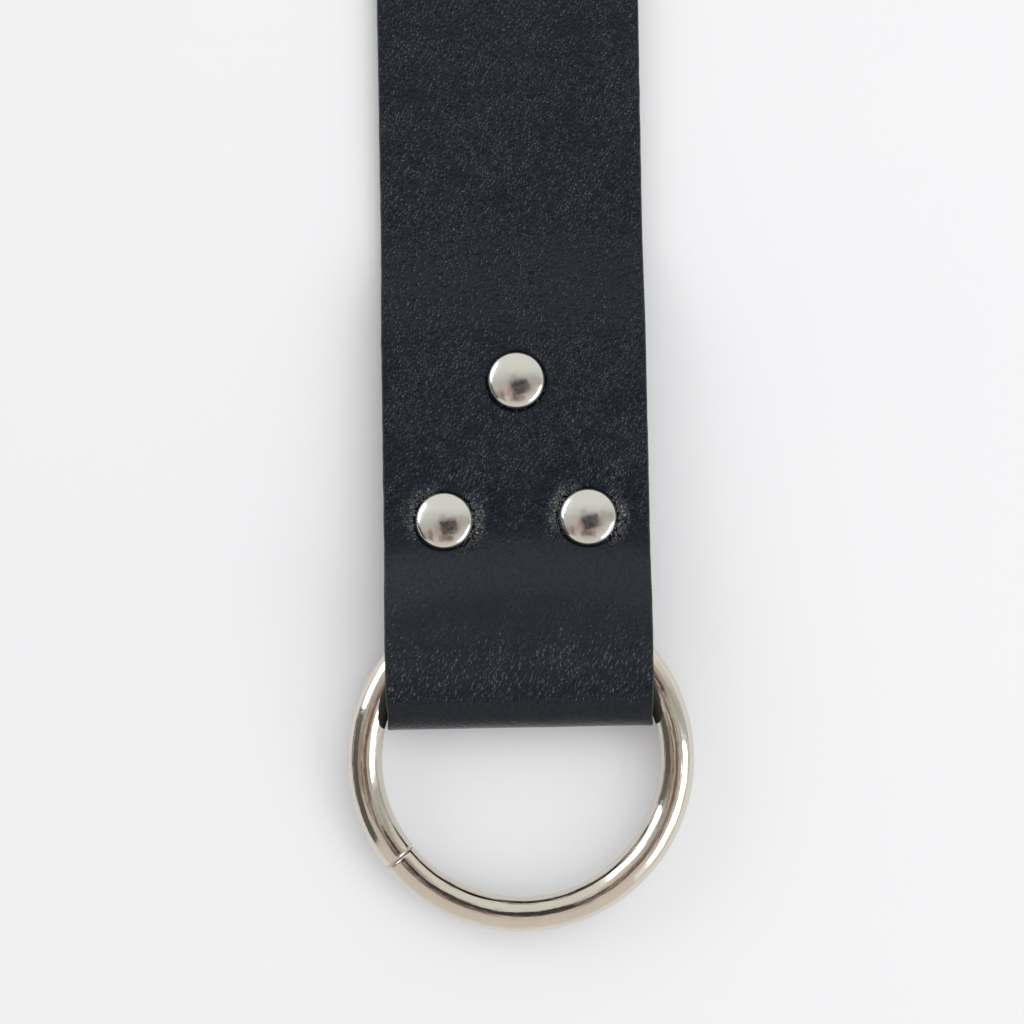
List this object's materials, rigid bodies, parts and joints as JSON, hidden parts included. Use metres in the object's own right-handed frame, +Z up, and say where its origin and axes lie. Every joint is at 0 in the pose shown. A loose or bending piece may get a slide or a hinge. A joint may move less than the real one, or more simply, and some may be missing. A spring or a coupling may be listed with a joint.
{
  "type": "ring belt",
  "caption": "End of a flat black leather belt, folded round a round metal ring and riveted, so that the ring can hang or take the belt's other end.",
  "frame": {"origin": "under the middle of the whole belt end, on the surface that it lies on", "axes": "+Y along the strap, from the ring towards the strap's cut end; +X across the strap, to the right as seen from above with the ring nearest; +Z up, out of the strap's face"},
  "size_m": [0.05, 0.144, 0.0112],
  "materials": {
    "strap": "black grained leather, semi-matt",
    "ring": "polished nickel plate on steel wire",
    "rivets": "nickel plate, softly polished"
  },
  "bodies": {
    "strap": {"strap": "strap", "rivet_cap_left": "rivets", "rivet_cap_right": "rivets", "rivet_cap_middle": "rivets", "rivet_base_left": "rivets", "rivet_base_right": "rivets", "rivet_base_middle": "rivets"},
    "ring": {"ring": "ring"}
  },
  "joints": [
    {"name": "ring_turn", "type": "hinge", "parent": "strap", "child": "ring", "pos_m": [0, -0.047, 0.0056], "axis": [0, 0, 1], "continuous": true}
  ]
}
